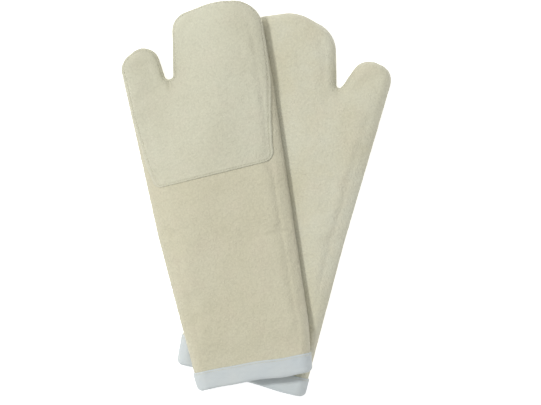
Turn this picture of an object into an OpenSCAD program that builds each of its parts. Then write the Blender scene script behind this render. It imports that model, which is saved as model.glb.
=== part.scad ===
// Pair of elbow-length padded terry mitts for cold work, lying crossed at the cuffs.
// The lower mitt lies palm down on the bench, and the upper one lies palm up, bent over its edge.

/* [Mitts] */
// Half width of the cuff: lower mitt, upper mitt
cuff_half = [95, 86]; // [80:1:110]
// Distance from the centre line to the thumb's outer edge: lower, upper
thumb_out = [102, 118]; // [95:1:125]
// Distance from the centre line to the bend in the thumb's side: lower, upper
bend_out = [95, 106]; // [85:1:115]
// Distance from the centre line to the hand's outer edge: lower, upper
hand_out = [131, 98]; // [90:1:140]
// Height of the thumb crotch above the cuff: lower, upper
crotch_v = [438, 416]; // [410:1:450]
// Height of the fingertips above the cuff: lower, upper
tip_v = [537, 551]; // [525:1:565]
// Half thickness of the padded mitt: lower, upper
half_h = [13, 13.5]; // [11.5:0.5:18]
// How far the side seam hangs below mid height: lower, upper
seam_drop = [4, 5.5]; // [0:0.5:6]
// Radius over which the faces turn down to the side seam
rim = 15; // [14:0.5:23]

/* [Pose] */
// Turn of each mitt from straight ahead, in degrees: lower, upper
lean = [-14.8, 10]; // [-20:0.1:20]
// Middle of the lower cuff's mouth before centring
lower_mouth = [-24, -261]; // [-300:1:100]
// Middle of the upper cuff's mouth before centring
upper_mouth = [0, -260]; // [-300:1:100]
// Width of the bend where the upper mitt comes down off the lower one
bend_w = 110; // [90:1:140]
// Air between the two mitts
air = 1; // [0.8:0.1:2]

/* [Layers] */
// Thickness of a terry panel
shell_t = 2.5; // [1.5:0.1:3]
// Thickness of the quilted insulation
pad_t = 4; // [2:0.1:4.5]
// Thickness of the lining
lining_t = 1.2; // [0.8:0.1:1.5]
// Thickness of the terry palm patch
patch_t = 2.5; // [1.5:0.1:3]
// Thickness of the cuff's binding tape
tape_t = 1.2; // [0.8:0.1:1.5]
// Play between one layer and the next
play = 0.2; // [0.15:0.05:0.3]

/* [Cuff and patch] */
// Height of the binding tape outside the cuff
tape_h = 26; // [20:1:30]
// Height of the binding tape inside the cuff
tape_in_h = 18; // [12:1:20]
// Height of the palm patch's lower edge: at the thumb side, at the outer side
patch_v = [297, 309]; // [280:1:330]
// Distance of a stitch line from the edge that it holds
stitch_in = 3; // [2:0.5:5]
// Radius of the sewing thread
thread_r = 0.4; // [0.3:0.05:0.5]

/* [Hidden] */

// Mitt numbers
LOWER = 0;
UPPER = 1;
mouth = [lower_mouth, upper_mouth];
// The thumb is on the right of the lower mitt and on the left of the upper one
hand = [1, -1];
// The palm faces down on the lower mitt and up on the upper one
palm = [-1, 1];

// Depth of each layer's outer face under the terry's outer face
pad_o = shell_t + play;
lining_o = pad_o + pad_t + play;
inside_o = lining_o + lining_t;
// The patch and the tape stand outside the terry
patch_o = -play - patch_t;
tape_o = -play - tape_t;

// Corners of the outline, lower and upper mitt: distance in from the thumb's outer edge
thumb_w = [47, 53];
crotch_in = [73, 68];
shoulder_in = [97, 87];
top_in = [160, 152];
// Heights of the thumb's two corners over the crotch
thumb_outer_up = [54, 68];
thumb_inner_up = [62, 98];
// Drops of the hand's shoulders below the fingertips, and the outer one's step inwards
shoulder_down = [15, 12];
outer_down = [29, 10];
outer_step = [8, 1];
// Radii: thumb's corners, its crotch, then the hand's shoulder, top and outer shoulder
thumb_r = [25, 24];
crotch_r = [4, 6.2];
shoulder_r = [44, 28];
top_r = [60, 120];
outer_r = [45, 44];
// Heights at which the thumb side and the outer side bend
thumb_bend_v = 230;
outer_bend_v = 430;

// Corners of a mitt's outline as [u, v, radius]: u is towards the thumb, v from the cuff
// to the fingertips. They run from the mouth up the thumb side and down the outer side.
function corners(m) =
    let (t = thumb_out[m], c = crotch_v[m], top = tip_v[m])
    [
        [cuff_half[m], 0, 0],
        [bend_out[m], thumb_bend_v, 0],
        [t, c + thumb_outer_up[m], thumb_r[0]],
        [t - thumb_w[m], c + thumb_inner_up[m], thumb_r[1]],
        [t - crotch_in[m], c, crotch_r[m]],
        [t - shoulder_in[m], top - shoulder_down[m], shoulder_r[m]],
        [t - top_in[m], top, top_r[m]],
        [outer_step[m] - hand_out[m], top - outer_down[m], outer_r[m]],
        [-hand_out[m], outer_bend_v, 0],
        [-cuff_half[m], 0, 0]
    ];

// Samples on the outline: rows that both sides share, then the arcs and the short edges
row_v = [0, tape_h, 75, 125, 180, 240];
high_v = [357, 405];
THUMB_ROW = 8;
ARC = [4, 5, 5, 4, 3, 5];
N = 50;
CROTCH = 22;
TOP = 31;
LAST_ROW = 17;
PATCH_ROW = 6;
RINGS = 4;
COLS = 4;

function unit(a) = a / norm(a);
function left_normal(a, b) = let (d = unit([b[0] - a[0], b[1] - a[1]])) [-d[1], d[0]];
function heading(a, b) = atan2(b[1] - a[1], b[0] - a[0]);
function wrap(a) = a > 180 ? a - 360 : a < -180 ? a + 360 : a;
function lerp(a, b, t) = a + (b - a) * t;
function smooth(x, a, b) = let (t = min(1, max(0, (x - a) / (b - a)))) t * t * (3 - 2 * t);

// A sample is [u, v, inward normal's u, inward normal's v]. side is 1 on the thumb's side
// and -1 on the outer side, and at the mouth the normal lies along the cuff's edge.
function at_height(a, b, v, side) =
    let (n = v == 0 ? [-side, 0] : side * left_normal(a, b))
    [lerp(a[0], b[0], (v - a[1]) / (b[1] - a[1])), v, n[0], n[1]];

function arc(c, k, n) =
    let (
        p = c[k], a1 = heading(c[k - 1], p), turn = wrap(heading(p, c[k + 1]) - a1),
        r = p[2] * sign(turn), run = p[2] * tan(abs(turn) / 2),
        start = [p[0] - run * cos(a1), p[1] - run * sin(a1)],
        centre = start + r * [-sin(a1), cos(a1)]
    )
    [for (i = [0 : n - 1]) let (a = a1 + turn * i / (n - 1))
        [centre[0] + r * sin(a), centre[1] - r * cos(a), -sin(a), cos(a)]];

// n samples between two neighbouring arcs, on the straight edge that joins them
function between(a, b, n) =
    [for (i = [1 : n]) [for (k = [0 : 3]) lerp(a[k], b[k], i / (n + 1))]];

function side_rows(c, side, patch_row_v) =
    let (path = side > 0 ? [c[0], c[1], c[2]] : [c[9], c[8], c[7]])
    [for (v = concat(row_v, [patch_row_v], high_v))
        let (k = v < path[1][1] ? 0 : 1)
        at_height(path[k], path[k + 1], v, side)];

function reversed(list) = [for (i = [len(list) - 1 : -1 : 0]) list[i]];

function outline(m) =
    let (
        c = corners(m),
        up = side_rows(c, 1, patch_v[0]),
        down = reversed(side_rows(c, -1, patch_v[1])),
        arcs = [for (k = [0 : 5]) arc(c, k + 2, ARC[k])]
    )
    concat(
        up, arcs[0], arcs[1], between(arcs[1][4], arcs[2][0], 2),
        arcs[2], between(arcs[2][4], arcs[3][0], 1), arcs[3], arcs[4], arcs[5],
        between(arcs[5][4], down[0], 3), down
    );
lines = [outline(LOWER), outline(UPPER)];

// How far a point of a layer's face is inside the outline, and how high it is over mid height,
// at angle phi round the rim: 0 at the side seam, 90 on the flat. side is 1 on the upper face
// and -1 on the lower one.
function inset(o, phi) = o + (rim - o) * (1 - cos(phi));
function height(m, side, o, phi) =
    side * (half_h[m] - o) * sin(phi) - seam_drop[m] * cos(phi) ^ 2;
function rim_uv(s, d) = [s[0] + s[2] * d, s[1] + s[3] * d];

// Height of the lower mitt's terry over the bench: it lies on its tape, then on itself,
// then on its patch
function lower_lift(v) =
    -tape_o * (1 - smooth(v, tape_h + 4, 130)) - patch_o * smooth(v, 170, patch_v[0] - 1);

// Map from a mitt's own [u, v] to the bench, and back for the lower mitt
function bench_xy(m, p) =
    let (a = lean[m], u = hand[m] * p[0])
    mouth[m] + [u * cos(a) - p[1] * sin(a), u * sin(a) + p[1] * cos(a)];
function lower_uv(q) =
    let (a = lean[LOWER], d = q - mouth[LOWER])
    [d[0] * cos(a) + d[1] * sin(a), -d[0] * sin(a) + d[1] * cos(a)];

// Height of the upper mitt's underside over the bench at a point of the bench
function upper_lift(q) =
    let (
        p = lower_uv(q),
        edge = -lerp(cuff_half[LOWER], hand_out[LOWER], p[1] / outer_bend_v),
        over = 2 * half_h[LOWER] + lower_lift(p[1]) + air
            - 2 * tape_o * (1 - smooth(p[1], 70, 190))
    )
    over * smooth(p[0] - edge, -bend_w, 0);

function lifted(m, p) =
    let (q = bench_xy(m, p))
    [q[0], q[1], p[2] + half_h[m] + (m == LOWER ? lower_lift(p[1]) : upper_lift(q))];

// Centre of the pair's outline, which becomes the origin
edge_xy = [for (m = [LOWER, UPPER]) for (s = lines[m])
    bench_xy(m, rim_uv(s, s[1] > patch_v[1] ? inset(patch_o, 90 / RINGS) : 0))];
tape_xy = [for (m = [LOWER, UPPER]) for (k = [-1, 1])
    bench_xy(m, [k * (cuff_half[m] - tape_o), tape_o])];
all_xy = concat(edge_xy, tape_xy);
centre = [for (k = [0, 1]) let (c = [for (q = all_xy) q[k]]) (min(c) + max(c)) / 2];
function place(m, p) = lifted(m, p) - [centre[0], centre[1], 0];

// ---- Panels: half trays that meet their other half at the side seam ----
// from is the first row, and edge_ring(i) the first ring at sample i: 0 at the seam
function left_of(row) = row <= THUMB_ROW ? row : row - THUMB_ROW - 1 + CROTCH;
function rim_points(m, side, o, from) =
    [for (i = [from : N - 1 - from]) for (j = [0 : RINGS])
        let (phi = 90 * j / RINGS, p = rim_uv(lines[m][i], inset(o, phi)))
        [p[0], p[1], height(m, side, o, phi)]];
function flat_points(m, side, o, from) =
    [for (row = [from : LAST_ROW]) for (c = [1 : COLS - 1])
        let (
            a = rim_uv(lines[m][left_of(row)], rim),
            b = rim_uv(lines[m][N - 1 - row], rim),
            p = lerp(a, b, c / COLS)
        )
        [p[0], p[1], side * (half_h[m] - o)]];
function face_points(m, side, o, from) =
    [for (p = concat(rim_points(m, side, o, from), flat_points(m, side, o, from))) place(m, p)];

function at_rim(from, i, j) = (i - from) * (RINGS + 1) + j;
function at_flat(from, row, c) =
    c == 0 ? at_rim(from, left_of(row), RINGS)
    : c == COLS ? at_rim(from, N - 1 - row, RINGS)
    : (N - 2 * from) * (RINGS + 1) + (row - from) * (COLS - 1) + c - 1;

// Two triangles of the four corners of a cell
function cell(a, b, c, d) = [[a, b, c], [a, c, d]];

function rim_faces(from, ring) =
    [for (i = [from : N - 2 - from]) for (j = [0 : RINGS - 1])
        let (a = at_rim(from, i, j), b = at_rim(from, i + 1, j))
        each ring[i] <= j && ring[i + 1] <= j ? cell(a, a + 1, b + 1, b)
            : ring[i] <= j && ring[i + 1] == j + 1 ? [[a, a + 1, b + 1]]
            : ring[i] == j + 1 && ring[i + 1] <= j ? [[a + 1, b + 1, b]] : []];
function body_faces(from) =
    [for (row = [from : LAST_ROW - 1]) for (c = [0 : COLS - 1])
        each cell(at_flat(from, row, c), at_flat(from, row, c + 1),
            at_flat(from, row + 1, c + 1), at_flat(from, row + 1, c))];
function top_faces(from) =
    [for (c = [0 : COLS - 1])
        [at_flat(from, LAST_ROW, c), at_flat(from, LAST_ROW, c + 1), at_rim(from, TOP, RINGS)]];
// The thumb's flat runs from the edge between the thumb's base and the crotch to its tip
THUMB_STEPS = 6;
function thumb_faces(from) =
    let (a = THUMB_ROW, b = CROTCH)
    concat(
        [for (k = [0 : THUMB_STEPS - 1])
            each cell(at_rim(from, a + k, RINGS), at_rim(from, b - k, RINGS),
                at_rim(from, b - k - 1, RINGS), at_rim(from, a + k + 1, RINGS))],
        [[at_rim(from, a + THUMB_STEPS, RINGS), at_rim(from, b - THUMB_STEPS, RINGS),
            at_rim(from, a + THUMB_STEPS + 1, RINGS)]]
    );

// The loop round a face: along the rim, then back across the first row
function border(from, ring) =
    let (last = N - 1 - from)
    concat(
        [for (i = [from : last]) at_rim(from, i, ring[i])],
        ring[last] < RINGS ? [for (j = [ring[last] + 1 : RINGS]) at_rim(from, last, j)] : [],
        [for (c = [COLS - 1 : -1 : 1]) at_flat(from, from, c)],
        [for (j = [RINGS : -1 : ring[from] + 1]) at_rim(from, from, j)]
    );

module panel(m, side, o, t, from, ring) {
    n = (N - 2 * from) * (RINGS + 1) + (LAST_ROW + 1 - from) * (COLS - 1);
    outer = concat(rim_faces(from, ring), body_faces(from), top_faces(from), thumb_faces(from));
    inner = [for (f = outer) [f[0] + n, f[2] + n, f[1] + n]];
    loop = border(from, ring);
    wall = [for (k = [0 : len(loop) - 1])
        let (a = loop[k], b = loop[(k + 1) % len(loop)])
        each cell(a, b, b + n, a + n)];
    faces = concat(outer, inner, wall);
    polyhedron(
        concat(face_points(m, side, o, from), face_points(m, side, o + t, from)),
        side * hand[m] > 0 ? [for (f = faces) [f[2], f[1], f[0]]] : faces
    );
}
FULL = [for (i = [0 : N - 1]) 0];
// The patch turns over the rim at the thumb and the fingertips, and stops short of it
// down the outer side
PATCH = [for (i = [0 : N - 1]) i <= TOP + 4 ? 1 : i == TOP + 5 ? 2 : 3];

module whole_panel(m, side, o, t) {
    panel(m, side, o, t, 0, FULL);
}

// ---- Tubes of thread ----
// A path is a list of [point, outward normal] in the mitt's own [u, v, w]
THREAD_SIDES = 4;
function tube_ring(prev, here, next) =
    let (t = unit(next[0] - prev[0]), b = unit(cross(t, here[1])), n = cross(b, t))
    [for (k = [0 : THREAD_SIDES - 1]) let (a = 45 + 360 * k / THREAD_SIDES)
        here[0] + thread_r * (n * cos(a) + b * sin(a))];

module thread(m, path, closed) {
    n = len(path);
    s = THREAD_SIDES;
    rings = [for (i = [0 : n - 1])
        tube_ring(path[closed ? (i + n - 1) % n : max(0, i - 1)], path[i],
            path[closed ? (i + 1) % n : min(n - 1, i + 1)])];
    walls = [for (i = [0 : n - (closed ? 1 : 2)]) for (k = [0 : s - 1])
        let (a = i * s, b = (i + 1) % n * s, k2 = (k + 1) % s)
        each cell(a + k, a + k2, b + k2, b + k)];
    caps = closed ? [] : concat(cell(3, 2, 1, 0), cell((n - 1) * s, (n - 1) * s + 1,
        (n - 1) * s + 2, (n - 1) * s + 3));
    faces = concat(walls, caps);
    polyhedron(
        [for (r = rings) for (p = r) place(m, p)],
        hand[m] > 0 ? faces : [for (f = faces) [f[2], f[1], f[0]]]
    );
}

// A seam at the middle of the rim, d inside the outline
function seam_path(m, d) =
    [for (s = lines[m]) let (p = rim_uv(s, d))
        [[p[0], p[1], -seam_drop[m]], [-s[2], -s[3], 0]]];

// ---- Cuff: places round the mouth, as [part of the width, side, ring] ----
mouth_stations = concat(
    [for (j = [0 : RINGS]) [1, 1, j]],
    [for (c = [1 : COLS - 1]) [1 - 2 * c / COLS, 1, RINGS]],
    [for (j = [RINGS : -1 : 0]) [-1, 1, j]],
    [for (j = [1 : RINGS]) [-1, -1, j]],
    [for (c = [COLS - 1 : -1 : 1]) [1 - 2 * c / COLS, -1, RINGS]],
    [for (j = [RINGS : -1 : 1]) [1, -1, j]]
);
function cuff_edge(m, k, v) =
    let (c = corners(m), a = k > 0 ? c[0] : c[9], b = k > 0 ? c[1] : c[8])
    lerp(a[0], b[0], v / b[1]);
function cuff_point(m, st, o, v) =
    let (
        phi = 90 * st[2] / RINGS,
        right = cuff_edge(m, 1, v) - inset(o, phi),
        left = cuff_edge(m, -1, v) + inset(o, phi)
    )
    [lerp(left, right, (st[0] + 1) / 2), v, height(m, st[1], o, phi)];

// Section of the tape as [depth, height]: outside, round the mouth, and up the inside
tape_section = [
    [tape_o, tape_h], [tape_o, tape_o], [inside_o + play + tape_t, tape_o],
    [inside_o + play + tape_t, tape_in_h], [inside_o + play, tape_in_h],
    [inside_o + play, -play], [-play, -play], [-play, tape_h]
];

module cuff_binding(m) {
    n = len(mouth_stations);
    s = len(tape_section);
    faces = [for (i = [0 : n - 1]) for (k = [0 : s - 1])
        let (a = i * s, b = (i + 1) % n * s, k2 = (k + 1) % s)
        each cell(a + k, a + k2, b + k2, b + k)];
    color([0.93, 0.95, 0.96])
        polyhedron(
            [for (st = mouth_stations) for (p = tape_section) place(m, cuff_point(m, st, p[0], p[1]))],
            hand[m] > 0 ? faces : [for (f = faces) [f[2], f[1], f[0]]]
        );
}

module binding_stitching(m) {
    path = [for (st = mouth_stations)
        let (
            phi = 90 * st[2] / RINGS,
            out = [sign(st[0]) * cos(phi), 0, st[1] * sin(phi)]
        )
        [cuff_point(m, st, tape_o + thread_r, tape_h - stitch_in), out]];
    color("white") thread(m, path, true);
}

// ---- Sub-parts of a mitt ----
module palm_shell(m) {
    color([0.92, 0.91, 0.83]) whole_panel(m, palm[m], 0, shell_t);
}
module back_shell(m) {
    color([0.90, 0.88, 0.78]) whole_panel(m, -palm[m], 0, shell_t);
}
module palm_patch(m) {
    color([0.94, 0.93, 0.86]) panel(m, palm[m], patch_o, patch_t, PATCH_ROW, PATCH);
}
module palm_insulation(m) {
    color([0.97, 0.97, 0.95]) whole_panel(m, palm[m], pad_o, pad_t);
}
module back_insulation(m) {
    color([0.97, 0.97, 0.95]) whole_panel(m, -palm[m], pad_o, pad_t);
}
module palm_lining(m) {
    color([0.86, 0.88, 0.86]) whole_panel(m, palm[m], lining_o, lining_t);
}
module back_lining(m) {
    color([0.86, 0.88, 0.86]) whole_panel(m, -palm[m], lining_o, lining_t);
}
module side_seam_thread(m) {
    color([0.85, 0.83, 0.74]) thread(m, seam_path(m, shell_t / 2), false);
}
module lining_seam_thread(m) {
    color("white") thread(m, seam_path(m, lining_o + lining_t / 2), false);
}

// The patch's stitch line: round its rim, then back across its lower edge
function patch_rim_place(m, i, phi, up) =
    let (s = lines[m][i], p = rim_uv(s, inset(patch_o + thread_r, phi)))
    [[p[0], p[1] + up, height(m, palm[m], patch_o + thread_r, phi)],
        [-s[2] * cos(phi), -s[3] * cos(phi), palm[m] * sin(phi)]];
function stitch_path(m) =
    let (
        a = PATCH_ROW, b = N - 1 - PATCH_ROW, step = 90 / RINGS, in = step / 3,
        pa = rim_uv(lines[m][a], rim), pb = rim_uv(lines[m][b], rim)
    )
    concat(
        [for (i = [a : b]) patch_rim_place(m, i, step * PATCH[i] + in, i == a || i == b ? stitch_in : 0)],
        [for (c = [COLS : -1 : 0]) let (p = lerp(pa, pb, c / COLS))
            [[p[0], p[1] + stitch_in, palm[m] * (half_h[m] - patch_o - thread_r)], [0, 0, palm[m]]]],
        [for (j = [RINGS - 1 : -1 : 2]) patch_rim_place(m, a, step * j, stitch_in)]
    );
module patch_stitching(m) {
    color([0.95, 0.95, 0.90]) thread(m, stitch_path(m), true);
}

palm_shell(LOWER);  // lower_palm_shell
back_shell(LOWER);  // lower_back_shell
palm_patch(LOWER);  // lower_palm_patch
palm_insulation(LOWER);  // lower_palm_insulation
back_insulation(LOWER);  // lower_back_insulation
palm_lining(LOWER);  // lower_palm_lining
back_lining(LOWER);  // lower_back_lining
cuff_binding(LOWER);  // lower_cuff_binding
side_seam_thread(LOWER);  // lower_side_seam_thread
lining_seam_thread(LOWER);  // lower_lining_seam_thread
patch_stitching(LOWER);  // lower_patch_stitching
binding_stitching(LOWER);  // lower_binding_stitching
palm_shell(UPPER);  // upper_palm_shell
back_shell(UPPER);  // upper_back_shell
palm_patch(UPPER);  // upper_palm_patch
palm_insulation(UPPER);  // upper_palm_insulation
back_insulation(UPPER);  // upper_back_insulation
palm_lining(UPPER);  // upper_palm_lining
back_lining(UPPER);  // upper_back_lining
cuff_binding(UPPER);  // upper_cuff_binding
side_seam_thread(UPPER);  // upper_side_seam_thread
lining_seam_thread(UPPER);  // upper_lining_seam_thread
patch_stitching(UPPER);  // upper_patch_stitching
binding_stitching(UPPER);  // upper_binding_stitching
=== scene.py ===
"""A pair of elbow-length terry mitts for cold work, lying crossed at the cuffs."""
import math

import bpy
import numpy as np
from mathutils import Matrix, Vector, geometry, kdtree


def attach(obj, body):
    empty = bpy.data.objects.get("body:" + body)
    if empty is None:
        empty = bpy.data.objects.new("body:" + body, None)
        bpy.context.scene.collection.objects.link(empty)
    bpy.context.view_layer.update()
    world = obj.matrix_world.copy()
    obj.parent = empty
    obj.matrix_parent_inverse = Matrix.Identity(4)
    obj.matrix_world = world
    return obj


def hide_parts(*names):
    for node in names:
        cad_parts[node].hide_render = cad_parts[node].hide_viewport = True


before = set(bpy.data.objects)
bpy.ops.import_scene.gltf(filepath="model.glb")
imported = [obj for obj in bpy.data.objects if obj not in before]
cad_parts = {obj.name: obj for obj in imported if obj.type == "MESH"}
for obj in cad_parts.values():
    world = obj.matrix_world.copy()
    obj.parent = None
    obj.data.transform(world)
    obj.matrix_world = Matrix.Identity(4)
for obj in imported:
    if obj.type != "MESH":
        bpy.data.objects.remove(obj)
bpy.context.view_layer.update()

MM = 0.001

# ---------------------------------------------------------------- camera: straight down from above
# Metres: the width seen at the mitts' middle height, and the camera's height over it
VIEW_WIDTH, CAMERA_HEIGHT, MIDDLE_HEIGHT = 0.78445, 6.0, 0.035
VIEW_MIDDLE = (0.0205, -0.0052)
camera = bpy.data.objects.new("camera", bpy.data.cameras.new("camera"))
bpy.context.scene.collection.objects.link(camera)
bpy.context.scene.camera = camera
camera.location = (*VIEW_MIDDLE, CAMERA_HEIGHT + MIDDLE_HEIGHT)
camera.data.sensor_width = 36.0
camera.data.lens = camera.data.sensor_width * CAMERA_HEIGHT / VIEW_WIDTH
camera.data.clip_start, camera.data.clip_end = 0.1, 50.0

# Lights in watts, and the strengths of the surroundings and of the floor's own glow
KEY_POWER, FILL_POWER, WORLD, FLOOR_GLOW = 101.0, 40.0, 0.475, 0.55

# ---------------------------------------------------------------- sizes, in millimetres
# Radius over which a face turns down to the side seam
RIM = 15.0
# Thickness of each layer, and the play between layers
SHELL_T, PAD_T, LINING_T, PATCH_T, TAPE_T = 2.5, 4.0, 1.2, 2.5, 1.2
PLAY = 0.2
# Depth of each layer's outer face under the terry's outer face
PAD_O = SHELL_T + PLAY
LINING_O = PAD_O + PAD_T + PLAY
INSIDE_O = LINING_O + LINING_T
PATCH_O = -PLAY - PATCH_T
TAPE_O = -PLAY - TAPE_T
# Height of the tape outside and inside the cuff, and how much taller its lower outer end looks
TAPE_H, TAPE_IN_H, TALLER = 26.0, 18.0, 0.62
# Height of the palm patch's lower edge at the thumb side and at the outer side
PATCH_V = (297.0, 309.0)
# Width of the bend where the upper mitt comes down off the lower one, and the air between them
BEND_W, AIR = 110.0, 1.0
# Heights of the bends in the thumb side and the outer side, and the radius that softens them
THUMB_BEND_V, OUTER_BEND_V, SIDE_R = 230.0, 430.0, 150.0
# Distance of the patch's stitches from its edge, and the radii of the threads
STITCH_IN, PATCH_THREAD, TAPE_THREAD, SEAM_THREAD = 3.1, 0.42, 0.34, 0.35
# The cloth simulation: mesh step, start inside the terry, furthest move, and frames
PUFF_STEP, PUFF_START, PUFF_MOST, PUFF_FRAMES = 9.0, 0.6, 3.5, 20
# Mesh steps of the terry and the patch, and rings round the terry's rim
TERRY_STEP, TERRY_RINGS, PATCH_STEP = 2.0, 18, 1.9
# Moves the pair's middle to the origin
SHIFT = np.array([1.238, -1.681])

# Each mitt's outline: u is towards the thumb, v up from the cuff. It follows the CAD panels to
# within about 5 mm; the thumbs and the lower fingertips are a little nearer to the photograph.
MITTS = {
    "lower": dict(
        cuff=95, thumb=102, hand=131, crotch=438, tip=539, half_h=13.0, drop=4.0, lean=-14.8,
        mouth=(-24, -261), turn=1, palm=-1, bend_u=95, thumb_w=51, crotch_in=73,
        shoulder_in=97, top_in=160, thumb_up=(54, 61), down=(17, 28), outer_step=8,
        radii=(25, 27, 4, 44, 60, 45),
    ),
    "upper": dict(
        cuff=86, thumb=118, hand=98, crotch=416, tip=551, half_h=13.5, drop=5.5, lean=10.0,
        mouth=(0, -260), turn=-1, palm=1, bend_u=106, thumb_w=53, crotch_in=68,
        shoulder_in=87, top_in=152, thumb_up=(71, 102), down=(12, 10), outer_step=1,
        radii=(25, 24, 6.2, 28, 120, 44),
    ),
}


# ---------------------------------------------------------------- small maths
def smooth(x, a, b):
    """0 up to a, 1 from b on, and an even slope between."""
    t = np.clip((x - a) / (b - a), 0, 1)
    return t * t * (3 - 2 * t)


def unit(v):
    """Vectors at length one."""
    return v / np.maximum(np.linalg.norm(v, axis=-1, keepdims=True), 1e-12)


class Noise:
    """Smooth gradient noise of about -1 to 1, the same on every run."""

    def __init__(self, seed):
        rng = np.random.default_rng(seed)
        self.order = rng.permutation(256)
        self.ways = unit(rng.normal(size=(256, 3)))

    def __call__(self, p, size):
        p = np.asarray(p, float) / size
        cell = np.floor(p).astype(int)
        f = p - cell
        fade = f * f * f * (f * (f * 6 - 15) + 10)
        total = 0.0
        for corner in np.ndindex(2, 2, 2):
            c = (cell + corner) & 255
            h = self.order[(self.order[(self.order[c[:, 0]] + c[:, 1]) & 255] + c[:, 2]) & 255]
            dot = (self.ways[h] * (f - corner)).sum(1)
            w = np.prod(np.where(np.array(corner) == 1, fade, 1 - fade), axis=1)
            total = total + w * dot
        return 1.7 * total


# ---------------------------------------------------------------- a mitt's outline
def corners(m):
    """Corners of the outline as (u, v, radius), from the mouth's thumb side to its outer side."""
    t, c, top = m["thumb"], m["crotch"], m["tip"]
    r = m["radii"]
    return [
        (m["cuff"], 0, 0),
        (m["bend_u"], THUMB_BEND_V, SIDE_R),
        (t, c + m["thumb_up"][0], r[0]),
        (t - m["thumb_w"], c + m["thumb_up"][1], r[1]),
        (t - m["crotch_in"], c, r[2]),
        (t - m["shoulder_in"], top - m["down"][0], r[3]),
        (t - m["top_in"], top, r[4]),
        (m["outer_step"] - m["hand"], top - m["down"][1], r[5]),
        (-m["hand"], OUTER_BEND_V, SIDE_R),
        (-m["cuff"], 0, 0),
    ]


def arc(before, here, after, step):
    """Points and inward normals round one corner of the outline."""
    a1 = math.atan2(here[1] - before[1], here[0] - before[0])
    a2 = math.atan2(after[1] - here[1], after[0] - here[0])
    turn = (a2 - a1 + math.pi) % (2 * math.pi) - math.pi
    r = here[2] * math.copysign(1, turn)
    run = here[2] * math.tan(abs(turn) / 2)
    start = np.array(here[:2]) - run * np.array([math.cos(a1), math.sin(a1)])
    centre = start + r * np.array([-math.sin(a1), math.cos(a1)])
    reach = max(here[2], here[2] - 0.8 * r)
    a = np.linspace(a1, a1 + turn, max(4, int(abs(turn) * reach / step) + 2))
    n = np.stack([-np.sin(a), np.cos(a)], 1)
    return centre - r * n, n


def outline(m, step, tail=0.0):
    """Points and inward normals from the mouth's thumb side round to its outer side.

    tail carries both sides on past the mouth, so that a place near the mouth finds them.
    """
    c = corners(m)
    parts, normals = [], []
    at = np.array(c[0][:2], float)
    for k in range(1, len(c)):
        if k < len(c) - 1 and c[k][2] > 0:
            p, n = arc(c[k - 1], c[k], c[k + 1], step)
        else:
            p = np.array([c[k][:2]], float)
            n = np.zeros((1, 2))
        way = unit(p[0] - at)
        side = np.array([-way[1], way[0]])
        count = max(2, int(np.linalg.norm(p[0] - at) / step))
        first = 0 if k == 1 else 1
        run = [at + (p[0] - at) * i / count for i in range(first, count)]
        parts += [np.array(run), p]
        if not n.any():
            n = side[None, :]
        normals += [np.tile(side, (len(run), 1)), n]
        at = p[-1]
    points, normals = np.concatenate(parts), np.concatenate(normals)
    if tail:
        down = np.arange(tail, 0, -step)[:, None]
        a = points[0] - unit(points[1] - points[0]) * down
        b = points[-1] + unit(points[-1] - points[-2]) * down[::-1]
        points = np.concatenate([a, points, b])
        normals = np.concatenate([np.tile(normals[0], (len(a), 1)), normals,
                                  np.tile(normals[-1], (len(b), 1))])
    return points, unit(normals)


class Shape:
    """Turns a place on a mitt's flat pattern into a place on the padded mitt."""

    def __init__(self, name):
        self.name, self.m = name, MITTS[name]
        self.line, self.line_n = outline(self.m, 0.5, tail=45.0)
        self.tree = kdtree.KDTree(len(self.line))
        for i, p in enumerate(self.line):
            self.tree.insert((p[0], p[1], 0), i)
        self.tree.balance()

    def nearest(self, flat):
        """Inset from the outline, and the outline's point and normal, for each flat place."""
        found = np.array([self.tree.find((x, y, 0))[1] for x, y in flat])
        q, n = self.line[found], self.line_n[found]
        d = ((flat - q) * n).sum(1)
        q = flat - n * d[:, None]
        return np.maximum(d, 0), q, n

    def place(self, p):
        """From the mitt's own [u, v, w] to where it lies, in millimetres."""
        m = self.m
        q = bench_xy(m, p[:, :2])
        if self.name == "lower":
            lift = lower_lift(p[:, 1])
        else:
            lift = upper_lift(q)
        # Loops that meet the bench are pressed flat
        return np.column_stack([q + SHIFT, np.maximum(p[:, 2] + m["half_h"] + lift, 0)])


# ---------------------------------------------------------------- how the mitts lie
def bench_xy(m, p):
    """From a mitt's flat [u, v] to the bench."""
    a = math.radians(m["lean"])
    u, v = m["turn"] * p[:, 0], p[:, 1]
    return np.array(m["mouth"]) + np.column_stack(
        [u * math.cos(a) - v * math.sin(a), u * math.sin(a) + v * math.cos(a)])


def lower_lift(v):
    """Height of the lower mitt's terry over the bench: on its tape, on itself, on its patch."""
    return -TAPE_O * (1 - smooth(v, TAPE_H + 4, 130)) - PATCH_O * smooth(v, 170, PATCH_V[0] - 1)


def past_side(m, q):
    """How far places on the bench are inside a mitt's outer side, and how far up the mitt."""
    a = math.radians(m["lean"])
    d = q - np.array(m["mouth"])
    u = m["turn"] * (d[:, 0] * math.cos(a) + d[:, 1] * math.sin(a))
    v = -d[:, 0] * math.sin(a) + d[:, 1] * math.cos(a)
    edge = -(m["cuff"] + (m["hand"] - m["cuff"]) * v / OUTER_BEND_V)
    return u - edge, v


def upper_lift(q):
    """Height of the upper mitt's underside over the bench, where it comes down off the lower."""
    low = MITTS["lower"]
    past, v = past_side(low, q)
    over = 2 * low["half_h"] + lower_lift(v) + AIR - 2 * TAPE_O * (1 - smooth(v, 70, 190))
    return over * smooth(past, -BEND_W, 0)



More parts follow.
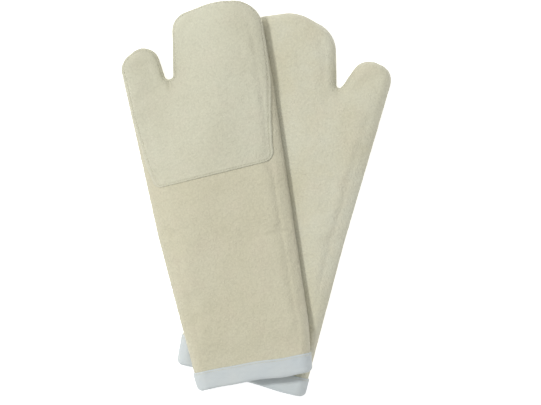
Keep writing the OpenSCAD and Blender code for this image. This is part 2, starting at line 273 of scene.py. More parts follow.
# ---------------------------------------------------------------- templates of points and faces
def inside(p, poly):
    """Whether each point is inside a closed line."""
    a, b = poly, np.roll(poly, -1, axis=0)
    hit = np.zeros(len(p), bool)
    for (x1, y1), (x2, y2) in zip(a, b):
        if y1 == y2:
            continue
        cut = (p[:, 1] > y1) != (p[:, 1] > y2)
        hit ^= cut & (p[:, 0] < (x2 - x1) * (p[:, 1] - y1) / (y2 - y1) + x1)
    return hit


def ring_area(ring):
    """Area inside a closed line."""
    x, y = ring[:, 0], ring[:, 1]
    return abs((x * np.roll(y, -1) - y * np.roll(x, -1)).sum()) / 2


def fill(ring, step):
    """Triangles that fill a ring, with a lattice of new points inside it."""
    low, high = ring.min(0), ring.max(0)
    rows = np.arange(low[1], high[1], step * math.sqrt(3) / 2)
    points = []
    for k, y in enumerate(rows):
        x = np.arange(low[0] + (k % 2) * step / 2, high[0], step)
        points.append(np.column_stack([x, np.full(len(x), y)]))
    p = np.concatenate(points)
    p = p[inside(p, ring)]
    tree = kdtree.KDTree(len(ring))
    for i, q in enumerate(ring):
        tree.insert((q[0], q[1], 0), i)
    tree.balance()
    p = p[np.array([tree.find((x, y, 0))[2] for x, y in p]) > 0.55 * step]
    every = np.concatenate([ring, p])
    made = geometry.delaunay_2d_cdt([Vector(q) for q in every], [], [list(range(len(ring)))],
                                    1, 1e-7)
    origin = np.array([o[0] for o in made[3]])
    return p, origin[np.array(made[2], int)]


def strip(first, second):
    """Triangles between two rows of points."""
    a, b, c, d = first[:-1], first[1:], second[1:], second[:-1]
    return np.concatenate([np.column_stack([a, b, c]), np.column_stack([a, c, d])])


def level_mouth(q, n):
    """An outline whose normals turn to lie along the cuff's edge near the mouth."""
    ease = smooth(q[:, 1:], 0, 25)
    return q, unit(n * ease + np.column_stack([-np.sign(q[:, 0]), 0 * q[:, 0]]) * (1 - ease))


class Face:
    """One face of a mitt: rings from the side seam over the rim, then the flat middle."""

    def __init__(self, m, step, rings):
        q, n = level_mouth(*outline(m, step))
        count = len(q)
        turn = (np.arange(rings + 1) / rings) ** 1.2 * math.pi / 2
        at = np.arange(count * (rings + 1)).reshape(count, rings + 1)
        tris = [strip(at[:, j], at[:, j + 1]) for j in range(rings)]
        ring = q + n * RIM
        across = max(2, int(np.linalg.norm(ring[0] - ring[-1]) / step))
        mouth = ring[-1] + (ring[0] - ring[-1]) * (np.arange(1, across) / across)[:, None]
        loop = np.concatenate([ring, mouth])
        more, inner = fill(loop, step)
        index = np.concatenate([at[:, rings], at.size + np.arange(len(mouth) + len(more))])
        self.tris = np.concatenate(tris + [index[inner]])
        free = np.concatenate([mouth, more])
        self.q = np.concatenate([np.repeat(q, rings + 1, axis=0), free])
        self.n = np.concatenate([np.repeat(n, rings + 1, axis=0), np.zeros_like(free)])
        self.phi = np.concatenate([np.tile(turn, count), np.full(len(free), math.pi / 2)])
        self.loop = np.concatenate([at[:, 0], at[-1, 1:], index[count:count + len(mouth)],
                                    at[0, :0:-1]])
        self.flat = self.q + self.n * (RIM * self.phi / (math.pi / 2))[:, None]


class Patch:
    """The palm patch: rings in from its edge, then the middle. Flat places only."""

    def __init__(self, m, step):
        q, n = outline(m, 1.2)
        up = np.argmin(np.linalg.norm(q - np.array([m["bend_u"], PATCH_V[0]]), axis=1))
        top = np.argmax(q[:, 1])
        down = top + np.argmin(np.abs(q[top:, 1] - PATCH_V[1]))
        crotch = np.argmin(np.linalg.norm(q - np.array(corners(m)[4][:2]), axis=1))
        # How far the edge is inside the outline: round the thumb to the top, then down the
        # outer side
        far = np.interp(np.arange(len(q)),
                        [up, up + 30, up + 90, crotch - 10, crotch + 20, top],
                        [11.5, 8.5, 6.0, 5.0, 4.5, 4.5])
        outer = np.interp(q[:, 1], [309, 328, 376, 424, 470, 510],
                          [12.5, 13, 10.3, 6.5, 5, 4.5])
        far = np.where(np.arange(len(q)) > top,
                       np.minimum(outer, 4.5 + 0.2 * (np.arange(len(q)) - top)), far)
        edge = rounded((q + n * far[:, None])[up:down + 1], (15.0, 9.0), 1.2)
        # Inward normals, smoothed so that the rings don't cross at the corners
        way = unit(np.roll(edge, -1, axis=0) - np.roll(edge, 1, axis=0))
        side = np.column_stack([-way[:, 1], way[:, 0]])
        for _ in range(6):
            side = unit(side + 0.5 * (np.roll(side, 1, axis=0) + np.roll(side, -1, axis=0)))
        self.edge, self.side = edge, side
        ins = np.array([0, 0.35, 0.9, 1.6, 2.4, STITCH_IN, 3.8, 4.7, 5.8])
        count, rings = len(edge), len(ins)
        at = np.arange(count * rings).reshape(rings, count)
        wrap = lambda row: np.append(row, row[0])
        tris = [strip(wrap(at[j]), wrap(at[j + 1])) for j in range(rings - 1)]
        ring = edge + side * ins[-1]
        more, inner = fill(ring, step)
        index = np.concatenate([at[-1], at.size + np.arange(len(more))])
        self.tris = np.concatenate(tris + [index[inner]])
        self.flat = np.concatenate([edge + side * e for e in ins] + [more])
        self.inset = np.concatenate([np.repeat(ins, count), np.full(len(more), 99.0)])
        self.loop = at[0]


def rounded(edge, radii, step):
    """Closes an open line with a straight one; radii round the corners at its end and start."""
    keep = np.ones(len(edge), bool)
    for end, radius in zip((-1, 0), radii):
        keep &= np.linalg.norm(edge - edge[end], axis=1) > radius
    body = edge[keep]
    a, b = body[-1], edge[-1]
    c, d = edge[0], body[0]
    way = unit(c - b)
    turns = []
    for start, corner, stop in ((a, b, b + way * radii[0]), (c - way * radii[1], c, d)):
        t = np.linspace(0, 1, 12)[:, None]
        turns.append((1 - t) ** 2 * start + 2 * t * (1 - t) * corner + t ** 2 * stop)
    count = int(np.linalg.norm(turns[1][0] - turns[0][-1]) / step)
    line = turns[0][-1] + (turns[1][0] - turns[0][-1]) * (np.arange(1, count) / count)[:, None]
    return np.concatenate([body, turns[0][1:], line, turns[1][:-1]])


# ---------------------------------------------------------------- how the cloth lies
# Soft places in the cloth, in a mitt's flat [u, v]: start, end, width, depth
CREASES = {
    "upper": [
        ((-29, 203), (-79, 206), 3.0, 0.9),
        ((51, 438), (52, 441), 3.6, 4.4),
        ((45, 428), (20, 405), 9.0, 0.7),
        ((-70.5, 44), (-77, 292), 2.2, 0.55),
        ((70, 48), (84, 284), 3.5, 0.35),
        ((-20, 118), (48, 108), 5.0, 0.4),
    ],
    "lower": [
        ((72, 305), (92, 305), 4.0, 1.0),
        ((33, 442), (34, 444), 5.0, 1.2),
        ((30, 430), (2, 402), 10.0, 0.6),
        ((79, 44), (80, 290), 3.5, 0.4),
    ],
}
lumps = Noise(11)
loops = Noise(12)
swell = Noise(13)


def dent(name, flat):
    """Depth of the creases at flat places."""
    total = np.zeros(len(flat))
    for a, b, width, depth in CREASES[name]:
        a, b = np.array(a, float), np.array(b, float)
        t = np.clip(((flat - a) @ (b - a)) / ((b - a) @ (b - a)), 0, 1)
        off = np.linalg.norm(flat - a - t[:, None] * (b - a), axis=1)
        total += depth * np.exp(-(off / width) ** 2)
    return total


def covered(flat):
    """0 to 1: how far a place on the lower mitt's upper face is under the upper mitt."""
    past, _ = past_side(MITTS["upper"], bench_xy(MITTS["lower"], flat))
    return smooth(past, -34, -4)


def mouth_shape(name, p):
    """The cuff's mouth is a little wavy, its corners are rounded, and the upper one is drawn in
    on its outer side."""
    u, v = p[:, 0] / MITTS[name]["cuff"], p[:, 1]
    wave = 1.3 * np.sin(3.3 * u + 0.8) + 0.6 * np.sin(8.1 * u + 2.0)
    if name == "lower":
        wave = -0.9 * np.sin(2.6 * u - 0.4) + 0.5 * np.sin(7.3 * u)
    corner = 2.6 * smooth(np.abs(u), 0.94, 1.02)
    out = p.copy()
    if name == "upper":
        out[:, 0] += 5.5 * smooth(-u, 0.2, 0.95) * (1 - smooth(v, 0, 75))
    out[:, 1] += wave * (1 - smooth(v, 0, 70)) + corner * (1 - smooth(v, 0, 30))
    return out


class Puff:
    """How far the padding pushes the skin, from a cloth simulation of the whole skin.

    The skin starts PUFF_START inside the terry and is pinned at the side seam and the mouth.
    """

    def __init__(self, mitt):
        self.mitt = mitt
        self.sides = None

    def simulate(self):
        """Runs the cloth, and keeps how far each point of each face moves."""
        face = Face(self.mitt.m, PUFF_STEP, 5)
        n = len(face.q)
        top, low = (self.mitt.lift(face.q, face.n, face.phi, side, PUFF_START)[0]
                    for side in (1, -1))
        seam = np.isclose(face.phi, 0)
        swap = np.arange(n) + n
        swap[seam] = np.arange(n)[seam]
        points = np.concatenate([top, low])
        tris = np.concatenate([face.tris, swap[face.tris][:, ::-1]])
        o = solid("puff_" + self.mitt.name, points, tris)
        flat = np.tile(face.flat, (2, 1))
        group = o.vertex_groups.new(name="pin")
        hold = np.maximum(1 - np.tile(face.phi, 2) / 0.9, 1 - flat[:, 1] / 40)
        for i, w in enumerate(np.clip(hold, 0, 1)):
            group.add([i], float(w), "ADD")
        cloth = o.modifiers.new("cloth", "CLOTH")
        s = cloth.settings
        s.quality = 6
        s.mass = 0.3
        s.tension_stiffness = s.compression_stiffness = 12
        s.shear_stiffness = 4
        s.bending_stiffness = 0.4
        s.shrink_min = -0.012
        s.use_pressure = True
        s.uniform_pressure_force = 4
        s.vertex_group_mass = "pin"
        s.effector_weights.gravity = 0
        cloth.collision_settings.use_collision = False
        scene = bpy.context.scene
        for f in range(1, PUFF_FRAMES + 1):
            scene.frame_set(f)
        made = o.evaluated_get(bpy.context.evaluated_depsgraph_get()).to_mesh()
        co = np.zeros(len(made.vertices) * 3)
        made.vertices.foreach_get("co", co)
        move = co.reshape(-1, 3) / MM - points
        scene.frame_set(1)
        bpy.data.objects.remove(o)
        far = np.linalg.norm(move, axis=1, keepdims=True)
        move *= np.minimum(1, PUFF_MOST / np.maximum(far, 1e-6))
        self.sides = []
        for side in (0, 1):
            tree = kdtree.KDTree(n)
            for i in range(n):
                tree.insert((*face.flat[i], 0), i)
            tree.balance()
            use = move[side * n:(side + 1) * n].copy()
            if side:
                use[seam] = move[:n][seam]
            self.sides.append((tree, use))

    def __call__(self, flat, side):
        """The simulated move at flat places, averaged from the nearest of its points."""
        if self.sides is None:
            return np.zeros((len(flat), 3))
        tree, move = self.sides[0 if side > 0 else 1]
        out = np.empty((len(flat), 3))
        for k, (x, y) in enumerate(flat):
            found = tree.find_n((x, y, 0), 7)
            far = np.array([f[2] for f in found])
            w = np.exp(-(far / 8.0) ** 2) + 1e-9
            out[k] = (move[[f[1] for f in found]] * w[:, None]).sum(0) / w.sum()
        return out


# ---------------------------------------------------------------- meshes
def solid(name, points, tris):
    """A mesh from points in millimetres, with its faces turned outwards."""
    p = points * MM
    a, b, c = (p[tris[:, k]] for k in range(3))
    if (a * np.cross(b, c)).sum() < 0:
        tris = tris[:, ::-1]
    mesh = bpy.data.meshes.new(name)
    mesh.vertices.add(len(p))
    mesh.vertices.foreach_set("co", p.astype(np.float32).ravel())
    mesh.loops.add(tris.size)
    mesh.loops.foreach_set("vertex_index", tris.astype(np.int32).ravel())
    mesh.polygons.add(len(tris))
    mesh.polygons.foreach_set("loop_start", np.arange(0, tris.size, 3, dtype=np.int32))
    mesh.update(calc_edges=True)
    mesh.shade_smooth()
    o = bpy.data.objects.new(name, mesh)
    bpy.context.scene.collection.objects.link(o)
    return o


def closed(name, outer, inner, tris, loop):
    """A closed sheet between two surfaces that share one set of faces."""
    n = len(outer)
    a, b = loop, np.roll(loop, -1)
    wall = np.concatenate([np.column_stack([b, a, a + n]), np.column_stack([b, a + n, b + n])])
    return solid(name, np.concatenate([outer, inner]),
                 np.concatenate([tris, tris[:, ::-1] + n, wall]))


def tubes(name, paths, radius, sides=6):
    """Round threads along lists of points, each with its ends drawn in and closed."""
    points, tris, base = [], [], 0
    for path in paths:
        n = len(path)
        way = unit(np.gradient(path, axis=0))
        up = np.tile([0.0, 0.0, 1.0], (n, 1))
        flat = np.abs(way[:, 2]) > 0.9
        up[flat] = [1.0, 0.0, 0.0]
        b = unit(np.cross(way, up))
        c = np.cross(b, way)
        r = np.full(n, radius)
        r[0] = r[-1] = 0.45 * radius
        angles = np.arange(sides) * 2 * math.pi / sides
        ring = (path[:, None, :] + r[:, None, None] * (
            np.cos(angles)[None, :, None] * b[:, None, :]
            + np.sin(angles)[None, :, None] * c[:, None, :])).reshape(-1, 3)
        at = np.arange(n * sides).reshape(n, sides)
        at = np.column_stack([at, at[:, 0]])
        f = [strip(at[i], at[i + 1]) for i in range(n - 1)]
        ends = [n * sides, n * sides + 1]
        for row, end, flip in ((at[0], ends[0], True), (at[-1], ends[1], False)):
            t = np.column_stack([row[:-1], row[1:], np.full(sides, end)])
            f.append(t[:, ::-1] if flip else t)
        points.append(np.concatenate([ring, path[:1], path[-1:]]))
        tris.append(np.concatenate(f) + base)
        base += n * sides + 2
    return solid(name, np.concatenate(points), np.concatenate(tris))


def stitches(path, normal, length, gap, sink):
    """Cuts a line into single stitches whose ends go down into the cloth."""
    run = np.concatenate([[0], np.cumsum(np.linalg.norm(np.diff(path, axis=0), axis=1))])
    count = int(run[-1] / (length + gap))
    pitch = run[-1] / count
    made = []
    for k in range(count):
        t = k * pitch + np.linspace(0, length, 7)
        p = np.column_stack([np.interp(t, run, path[:, i]) for i in range(3)])
        n = np.column_stack([np.interp(t, run, normal[:, i]) for i in range(3)])
        x = np.linspace(-1, 1, 7)[:, None]
        made.append(p - n * sink * x ** 4)
    return made


# ---------------------------------------------------------------- a mitt
def stations():
    """Places round the mouth: part of the width, face, and angle round the rim."""
    rim, wide = 14, 70
    turn = (np.arange(rim) / rim) ** 1.1 * math.pi / 2
    one = np.concatenate([
        np.column_stack([np.ones(rim), turn]),
        np.column_stack([np.linspace(1, -1, wide), np.full(wide, math.pi / 2)]),
        np.column_stack([-np.ones(rim), turn[::-1]])])
    up = np.column_stack([one[:, 0], np.ones(len(one)), one[:, 1]])
    down = np.column_stack([-one[:, 0], -np.ones(len(one)), one[:, 1]])[1:-1]
    return np.concatenate([up, down])


def outward(st):
    """The way out of the mitt at stations round the mouth."""
    part, side, phi = st.T
    return np.column_stack([np.sign(part) * np.cos(phi), 0 * part, side * np.sin(phi)])


class Mitt:
    """One mitt: its layers, tape and threads, from the flat pattern to where they lie."""

    def __init__(self, name):
        self.name, self.m, self.shape = name, MITTS[name], Shape(name)
        self.puff = Puff(self)
        self.puff.simulate()
        self.fine = Face(self.m, TERRY_STEP, TERRY_RINGS)
        self.coarse = Face(self.m, 5.0, 9)
        self.patch = Patch(self.m, PATCH_STEP)

    def lift(self, q, n, phi, side, o):
        """Places on a layer at depth o, and its outward normals, in the mitt's own [u, v, w]."""
        h = self.m["half_h"]
        o = np.broadcast_to(np.asarray(o, float), phi.shape)
        uv = q + n * (o + (RIM - o) * (1 - np.cos(phi)))[:, None]
        w = side * (h - o) * np.sin(phi) - self.m["drop"] * np.cos(phi) ** 2
        out = -n * ((h - o) * np.cos(phi) + side * self.m["drop"] * np.sin(2 * phi))[:, None]
        normal = np.column_stack([out, side * (RIM - o) * np.sin(phi)])
        return np.column_stack([uv, w]), unit(normal)

    def on(self, flat, side, o):
        """Places on a layer over flat places, its normals, and the angles round the rim."""
        d, q, n = self.shape.nearest(flat)
        rim = (d < RIM)[:, None]
        phi = np.minimum(d / RIM, 1) * math.pi / 2
        return *self.lift(np.where(rim, q, flat), np.where(rim, n, 0), phi, side, o), phi

    def push(self, flat, phi, side):
        """How the padding and the creases move every layer, on the mitt's upper face only."""
        move = self.puff(flat, side)
        if side < 0:
            return np.zeros_like(move)
        high = smooth(phi, 0.25, 1.2) * smooth(flat[:, 1], 30, 80)
        p = np.column_stack([flat, np.full(len(flat), 40.0 * (self.name == "upper"))])
        move[:, 2] += 0.9 * swell(p, 52) + 0.45 * swell(p + 300, 24)
        if self.name == "lower":
            move *= 1 - covered(flat)[:, None]
        move[:, 2] -= dent(self.name, flat)
        return move * high[:, None]

    def lie(self, p):
        """From the mitt's own [u, v, w] to where it lies, with the mouth's own shape."""
        return self.shape.place(mouth_shape(self.name, p))

    def terry_rough(self, p):
        """Height of the terry's loops."""
        p = p + 500.0 * (self.name == "upper")
        return 0.24 * lumps(p, 7.5) + 0.22 * loops(p, 3.1)

    def layer(self, face, side, o, rough=None):
        """One surface of a layer over a whole face, at depth o."""
        p, n = self.lift(face.q, face.n, face.phi, side, o)
        p = p + self.push(face.flat, face.phi, side)
        if rough is not None:
            p = p + n * rough(p)[:, None]
        return p

    def shell(self, which, side):
        """One terry panel, with its loops and the groove along the side seam."""
        face = self.fine
        groove = 1.05 * np.exp(-(face.phi * 14 / 1.6) ** 2)
        near = smooth(face.q[:, 1], TAPE_H - 4, TAPE_H + 8)
        outer = self.layer(face, side, 0.0, lambda p: self.terry_rough(p) * near - groove)
        inner = self.layer(face, side, SHELL_T)
        return closed(f"{self.name}_{which}_terry", self.lie(outer), self.lie(inner),
                      face.tris, face.loop)

    def batting(self, which, side):
        """One half of the batting, quilted in diamonds."""
        face = self.coarse
        a, b = (face.flat @ np.array(w) / 26.0 for w in ((0.9, 0.5), (-0.9, 0.5)))
        line = np.minimum(np.abs(a - np.round(a)), np.abs(b - np.round(b))) * 26.0
        dip = 0.9 * np.exp(-(line / 3.0) ** 2)
        outer = self.layer(face, side, PAD_O + dip)
        inner = self.layer(face, side, PAD_O + PAD_T - dip)
        return closed(f"{self.name}_{which}_batting", self.lie(outer), self.lie(inner),
                      face.tris, face.loop)

    def lining(self, which, side):
        """One half of the lining, with soft folds."""
        face = self.coarse
        p = np.column_stack([face.flat, np.full(len(face.flat), 90.0 * side)])
        fold = 0.7 * (1 + swell(p * [1, 0.4, 1], 13)) * smooth(face.flat[:, 1], 22, 50)
        fold *= smooth(face.phi, 0.1, 0.8)
        outer = self.layer(face, side, LINING_O + fold)
        inner = self.layer(face, side, INSIDE_O + fold)
        return closed(f"{self.name}_{which}_lining_cloth", self.lie(outer), self.lie(inner),
                      face.tris, face.loop)

    def palm_patch(self, side):
        """The palm's second terry layer, with its hem and the groove of its stitches."""
        patch = self.patch
        e = patch.inset
        profile = np.sqrt(1 - (1 - np.minimum(e / 1.6, 1)) ** 2)
        off = e - STITCH_IN
        hem = 0.55 * np.exp(-(off / 2.6) ** 2) - 1.15 * np.exp(-(off / 0.6) ** 2)
        top, n, phi = self.on(patch.flat, side, -PLAY - (PATCH_T + hem) * profile)
        low = self.on(patch.flat, side, -PLAY)[0]
        move = self.push(patch.flat, phi, side)
        rough = self.terry_rough(top + 70) * smooth(e, 0.2, 2.5)
        return closed(f"{self.name}_palm_terry_patch", self.lie(top + move + n * rough[:, None]),
                      self.lie(low + move), patch.tris, patch.loop)

    def patch_stitches(self, side):
        """The stitch line round the palm patch."""
        patch = self.patch
        flat = patch.edge + patch.side * STITCH_IN
        p, n, phi = self.on(flat, side, PATCH_O - 0.15)
        p = p + self.push(flat, phi, side)
        return tubes(f"{self.name}_patch_stitches",
                     [self.lie(s) for s in stitches(p, n, 3.0, 1.3, 0.7)], PATCH_THREAD)

    def cuff_point(self, st, o, v):
        """Places at depth o and height v over the mouth, at stations round it."""
        m = self.m
        part, side, phi = st.T
        v = np.broadcast_to(v, phi.shape)
        right = m["cuff"] + (m["bend_u"] - m["cuff"]) * (v / THUMB_BEND_V)
        left = -m["cuff"] - (m["hand"] - m["cuff"]) * v / OUTER_BEND_V
        inset = o + (RIM - o) * (1 - np.cos(phi))
        right, left = right - inset, left + inset
        u = left + (right - left) * (part + 1) / 2
        w = side * (m["half_h"] - o) * np.sin(phi) - m["drop"] * np.cos(phi) ** 2
        return np.column_stack([u, v, w])

    def taller(self, st):
        """How much taller the tape is at stations round the mouth."""
        if self.name == "upper":
            return np.ones(len(st))
        return 1 + TALLER * smooth(-self.cuff_point(st, 0.0, 0.0)[:, 0], 40, 92)

    def binding(self):
        """The cuff's tape: up the outside, round the mouth, and up the inside."""
        end_o = INSIDE_O + PLAY + TAPE_T
        mid = (TAPE_O + end_o) / 2
        bend = np.linspace(math.pi, 2 * math.pi, 13)
        half = (end_o - TAPE_O) / 2
        section = [(TAPE_O + 0.5, TAPE_H + 0.1), (TAPE_O + 0.12, TAPE_H - 0.2),
                   (TAPE_O - 0.05, TAPE_H - 1.2)]
        section += [(TAPE_O - 0.12 + 0.18 * math.exp(-((v - 23) / 0.9) ** 2), v)
                    for v in np.linspace(TAPE_H - 2, 3.5, 22)]
        section += [(mid + half * math.cos(a), 2.2 + 3.6 * math.sin(a)) for a in bend]
        section += [(end_o, v) for v in np.linspace(4, TAPE_IN_H - 0.5, 9)]
        section += [(end_o - 0.6, TAPE_IN_H), (INSIDE_O + PLAY, TAPE_IN_H - 0.5)]
        section += [(INSIDE_O + PLAY, v) for v in (12, 6, 2.4)]
        section += [(INSIDE_O + PLAY - 1, 0.2), (3.5, -0.25), (1, -0.2), (-PLAY, 1.2)]
        section += [(-PLAY, v) for v in (6, 12, 18, 24, 25.7)]
        st = stations()
        count, n = len(section), len(st)
        taller, out = self.taller(st), outward(st)
        # The outside waves most where nothing lies on it
        free = np.where(st[:, 1] > 0, 1.0 if self.name == "upper" else 0.4, 0.2)
        wave = Noise(21)
        rows = []
        for o, v in section:
            p = self.cuff_point(st, o, v * taller if o < 0 and v > 3 else v)
            if o < TAPE_O + 0.2 and v > 0:
                h = 0.35 * wave(p * [1, 1.6, 1], 9) + 0.5 * wave(p + 90, 26)
                p = p + out * (h * free * smooth(v, 0, 8))[:, None]
            rows.append(p)
        points = np.concatenate(rows)
        at = np.arange(count * n).reshape(count, n)
        at = np.column_stack([at, at[:, 0]])
        at = np.vstack([at, at[:1]])
        tris = np.concatenate([strip(at[k], at[k + 1]) for k in range(count)])
        return solid(f"{self.name}_cuff_tape", self.lie(points), tris)

    def binding_stitches(self):
        """The stitch line round the tape, near its edge."""
        st = stations()
        st = np.vstack([st, st[:1]])
        p = self.cuff_point(st, TAPE_O - 0.1, self.taller(st) * (TAPE_H - 3.0))
        return tubes(f"{self.name}_tape_stitches",
                     [self.lie(s) for s in stitches(p, outward(st), 2.6, 1.1, 0.55)],
                     TAPE_THREAD)

    def seam(self, kind, inset):
        """A seam's thread, from mouth to mouth round the thumb and hand."""
        q, n = level_mouth(*outline(self.m, 2.5))
        wave = 0.25 * np.sin(np.arange(len(q)) * math.pi / 1.5)
        p = np.column_stack([q + n * inset, wave - self.m["drop"]])[1:]
        return tubes(f"{self.name}_{kind}", [self.lie(p)], SEAM_THREAD)


# ---------------------------------------------------------------- materials
class Nodes:
    """A fabric material under way: a Principled shader and short ways to add nodes to it."""

    def __init__(self, name, roughness, sheen, sheen_roughness=0.5):
        self.mat = bpy.data.materials.new(name)
        self.mat.use_nodes = True
        self.tree = self.mat.node_tree
        self.shader = self.tree.nodes["Principled BSDF"]
        self.shader.inputs["Roughness"].default_value = roughness
        self.shader.inputs["Specular IOR Level"].default_value = 0.15
        self.shader.inputs["Sheen Weight"].default_value = sheen
        self.shader.inputs["Sheen Roughness"].default_value = sheen_roughness
        self.place = self.add("ShaderNodeTexCoord").outputs["Object"]

    def feed(self, socket, value):
        """Links a socket to another one, or sets its value."""
        if isinstance(value, bpy.types.NodeSocket):
            self.tree.links.new(value, socket)
        else:
            socket.default_value = value

    def add(self, kind, **inputs):
        """A node with its inputs linked or set."""
        node = self.tree.nodes.new(kind)
        for key, value in inputs.items():
            self.feed(node.inputs[key], value)
        return node

    def noise(self, scale, detail=3.0, roughness=0.5, at=None):
        """Smooth noise of about 0.3 to 0.7; scale is per metre."""
        node = self.add("ShaderNodeTexNoise", Vector=at or self.place, Scale=scale,
                        Detail=detail, Roughness=roughness)
        return node.outputs["Fac"]

    def ramp(self, value, low, high, start=0.0, end=1.0):
        """Takes start..end to low..high."""
        node = self.add("ShaderNodeMapRange", Value=value)
        for key, v in (("From Min", start), ("From Max", end), ("To Min", low), ("To Max", high)):
            node.inputs[key].default_value = v
        return node.outputs["Result"]

    def mix(self, factor, a, b, kind="MIX"):
        """Colour a turned into b by the factor."""
        node = self.tree.nodes.new("ShaderNodeMix")
        node.data_type = "RGBA"
        node.blend_type = kind
        # An RGBA mix has its factor, colours and result at these places
        for socket, value in ((0, factor), (6, a), (7, b)):
            self.feed(node.inputs[socket], value)
        return node.outputs[2]

    def maths(self, kind, a, b=0.0):
        node = self.tree.nodes.new("ShaderNodeMath")
        node.operation = kind
        for socket, value in zip(node.inputs, (a, b)):
            self.feed(socket, value)
        return node.outputs[0]

    def vector(self, kind, a, other, b):
        """Vector maths on a and the input called, or numbered, other."""
        node = self.tree.nodes.new("ShaderNodeVectorMath")
        node.operation = kind
        self.feed(node.inputs[0], a)
        self.feed(node.inputs[other], b)
        return node.outputs[0]

    def finish(self, color, height, distance):
        """Links the colour and a bump whose height is distance metres."""
        self.tree.links.new(color, self.shader.inputs["Base Color"])
        bump = self.add("ShaderNodeBump", Height=height, Strength=1.0, Distance=distance)
        self.tree.links.new(bump.outputs["Normal"], self.shader.inputs["Normal"])
        return self.mat


def rgb(r, g, b):
    """A linear colour from an sRGB one."""
    def linear(c):
        return c / 12.92 if c <= 0.04045 else ((c + 0.055) / 1.055) ** 2.4
    return (linear(r), linear(g), linear(b), 1.0)


def terry(name, light, dark, warm, loop_mm=2.4):
    """Looped cotton: small round loops, matted in patches, a little uneven in tone, with painted
    shade between the loops and where the loops lie low.
    """
    m = Nodes(name, 0.95, 0.25)
    # The loops' places are nudged about, so that they don't line up
    nudge = m.add("ShaderNodeTexNoise", Vector=m.place, Scale=260.0).outputs["Color"]
    at = m.vector("ADD", m.place, 1, m.vector("SCALE", nudge, "Scale", 0.0035))
    cells = m.add("ShaderNodeTexVoronoi", Vector=at, Scale=1000.0 / loop_mm)
    cells.feature = "SMOOTH_F1"
    loop = m.ramp(cells.outputs["Distance"], 1.0, 0.0, 0.05, 0.75)
    matted = m.noise(75, 4.0, 0.6)
    fine = m.noise(1300, 2.0)
    height = m.maths("MULTIPLY", loop, m.ramp(matted, 0.45, 1.0, 0.3, 0.7))
    height = m.maths("ADD", height, m.maths("MULTIPLY", fine, 0.25))
    height = m.maths("ADD", height, m.maths("MULTIPLY", matted, 0.5))
    tone = m.mix(m.ramp(m.noise(11, 4.0, 0.62), 0.0, 1.0, 0.34, 0.68), dark, light)
    tone = m.mix(m.ramp(m.noise(26, 3.0, 0.6, at), 0.0, 0.55, 0.48, 0.75), tone, warm)
    # Painted shade where the matted loops lie low: the colour darkens with the cloth's height
    tone = m.mix(m.ramp(matted, 0.12, 0.0, 0.3, 0.6), tone, dark)
    # Painted shade between the loops and a slight painted highlight on their tops: the colour
    # follows the loops' height
    shade = m.ramp(loop, 0.90, 1.02, 0.0, 0.9)
    color = m.mix(1.0, tone, m.add("ShaderNodeCombineColor", Red=shade, Green=shade,
                                   Blue=shade).outputs[0], "MULTIPLY")
    return m.finish(color, height, 0.0007)


def woven(name, light, dark, thread_mm, depth_mm, blotch=0.5):
    """Plain weave: two crossed sets of ribs and slightly uneven yarns, with painted shade where
    the yarns lie low.
    """
    m = Nodes(name, 0.85, 0.12)
    size = 1000.0 / thread_mm
    waves = []
    for direction in ("X", "Y"):
        wave = m.add("ShaderNodeTexWave", Vector=m.place, Scale=size / 6.3, Distortion=1.2)
        wave.inputs["Detail"].default_value = 1.0
        wave.inputs["Detail Scale"].default_value = 1.5
        wave.bands_direction = direction
        waves.append(wave.outputs["Fac"])
    height = m.maths("MULTIPLY", waves[0], waves[1])
    height = m.maths("ADD", height, m.maths("MULTIPLY", m.noise(90, 3.0), 0.8))
    tone = m.mix(m.ramp(m.noise(24, 4.0, 0.6), 0.0, blotch, 0.35, 0.7), light, dark)
    # Painted shade in the hollows of the weave: darker where the height is low
    tone = m.mix(m.ramp(height, 0.35, 0.0, 0.1, 0.8), tone, dark)
    return m.finish(tone, height, depth_mm * MM)


def fluffy(name, light, dark):
    """Batting: matted fine fibres."""
    m = Nodes(name, 0.95, 0.35)
    fibre = m.noise(600, 6.0, 0.7)
    tone = m.mix(m.ramp(fibre, 0.0, 1.0, 0.35, 0.7), dark, light)
    return m.finish(tone, m.maths("ADD", fibre, m.noise(120, 4.0)), 0.0009)


def twisted(name, light, dark):
    """Sewing thread: fine twisted strands."""
    m = Nodes(name, 0.6, 0.1)
    strand = m.add("ShaderNodeTexWave", Vector=m.place, Scale=420.0, Distortion=2.0)
    strand.bands_direction = "DIAGONAL"
    tone = m.mix(m.ramp(strand.outputs["Fac"], 0.0, 1.0), dark, light)
    return m.finish(tone, strand.outputs["Fac"], 0.00015)


TERRY = terry("cream_terry", rgb(0.79, 0.775, 0.685), rgb(0.775, 0.757, 0.66),
              rgb(0.79, 0.76, 0.675))
TERRY_LOW = terry("light_cream_terry", rgb(0.815, 0.81, 0.735), rgb(0.79, 0.775, 0.68),
                  rgb(0.81, 0.785, 0.70))
TERRY_PATCH = terry("palm_terry", rgb(0.79, 0.785, 0.705), rgb(0.775, 0.765, 0.68),
                    rgb(0.79, 0.77, 0.695))
TAPE = woven("cotton_tape", rgb(0.785, 0.805, 0.80), rgb(0.745, 0.775, 0.785), 0.9, 0.25, 0.8)
LINING = woven("brushed_lining", rgb(0.80, 0.81, 0.79), rgb(0.72, 0.735, 0.72), 0.7, 0.2)
BATTING = fluffy("batting", rgb(0.90, 0.90, 0.87), rgb(0.80, 0.80, 0.77))
THREAD = twisted("sewing_thread", rgb(0.86, 0.85, 0.77), rgb(0.76, 0.75, 0.67))


# ---------------------------------------------------------------- the pair
def panel_size(name):
    """Width, length and area of one panel as it was cut, in metres and square metres."""
    q = outline(MITTS[name], 1.0)[0]
    return np.ptp(q, axis=0) * MM, ring_area(q) * MM ** 2


def dress(piece, mitt, node, material):
    """Puts a piece in place of its CAD node, on its mitt's body and with its material."""
    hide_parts(f"{mitt.name}_{node}")
    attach(piece, f"{mitt.name}_mitt")
    piece.data.materials.append(material)
    return piece


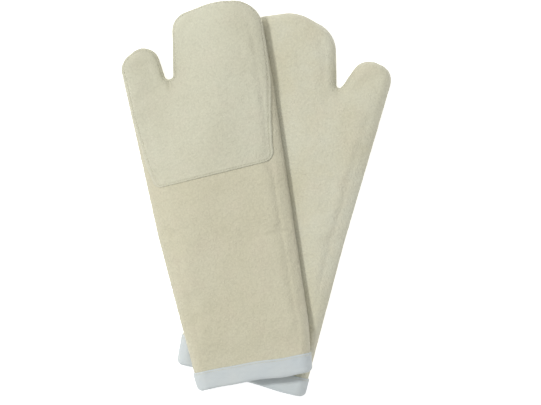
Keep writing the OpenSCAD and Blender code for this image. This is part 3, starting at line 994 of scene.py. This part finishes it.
for name in MITTS:
    mitt = Mitt(name)
    palm = mitt.m["palm"]
    size, area = panel_size(name)
    for which, side in (("palm", palm), ("back", -palm)):
        finish = TERRY if name == "upper" else TERRY_LOW
        o = dress(mitt.shell(which, side), mitt, f"{which}_shell", finish)
        o = dress(mitt.batting(which, side), mitt, f"{which}_insulation", BATTING)
        o = dress(mitt.lining(which, side), mitt, f"{which}_lining", LINING)
    stitch = dress(mitt.patch_stitches(palm), mitt, "patch_stitching", THREAD)
    patch = dress(mitt.palm_patch(palm), mitt, "palm_patch", TERRY_PATCH)
    stitch = dress(mitt.binding_stitches(), mitt, "binding_stitching", THREAD)
    tape = dress(mitt.binding(), mitt, "cuff_binding", TAPE)
    dress(mitt.seam("side_seam", 1.6), mitt, "side_seam_thread", THREAD)
    dress(mitt.seam("lining_seam", LINING_O + LINING_T / 2), mitt, "lining_seam_thread",
          THREAD)


# ---------------------------------------------------------------- floor, light and view
def floor():
    """A pale sweep of board under the pair."""
    mesh = bpy.data.meshes.new("bench")
    n = 25
    r = np.linspace(-4, 4, n)
    x, y = (g.ravel() for g in np.meshgrid(r, r))
    at = np.arange(n * n).reshape(n, n)
    quads = np.stack([at[:-1, :-1], at[:-1, 1:], at[1:, 1:], at[1:, :-1]], -1).reshape(-1, 4)
    mesh.from_pydata(np.column_stack([x, y, 0 * x - 0.0004]).tolist(), [], quads.tolist())
    o = bpy.data.objects.new("bench", mesh)
    bpy.context.scene.collection.objects.link(o)
    m = Nodes("pale_board", 0.9, 0.0)
    tone = m.mix(m.noise(3.0), rgb(0.985, 0.985, 0.985), rgb(0.995, 0.995, 0.995))
    m.finish(tone, m.noise(300), 0.00002)
    m.shader.inputs["Emission Color"].default_value = (1.0, 1.0, 1.0, 1.0)
    m.shader.inputs["Emission Strength"].default_value = FLOOR_GLOW
    mesh.materials.append(m.mat)


def lamp(name, place, target, size, power):
    """A round soft light that the camera doesn't see."""
    data = bpy.data.lights.new(name, "AREA")
    data.shape = "DISK"
    data.size = size
    data.energy = power
    o = bpy.data.objects.new(name, data)
    o.location = place
    o.rotation_euler = (Vector(target) - Vector(place)).to_track_quat("-Z", "Y").to_euler()
    o.visible_camera = False
    bpy.context.scene.collection.objects.link(o)


floor()
lamp("key", (-2.0, 1.0, 4.0), (0, 0, 0), 0.6, KEY_POWER)
lamp("fill", (-0.5, 0.5, 4.5), (0, 0, 0), 3.0, FILL_POWER)
world = bpy.data.worlds.new("studio")
bpy.context.scene.world = world
world.use_nodes = True
world.node_tree.nodes["Background"].inputs["Color"].default_value = (1.0, 1.0, 1.0, 1.0)
world.node_tree.nodes["Background"].inputs["Strength"].default_value = WORLD
bpy.context.scene.view_settings.view_transform = "Standard"
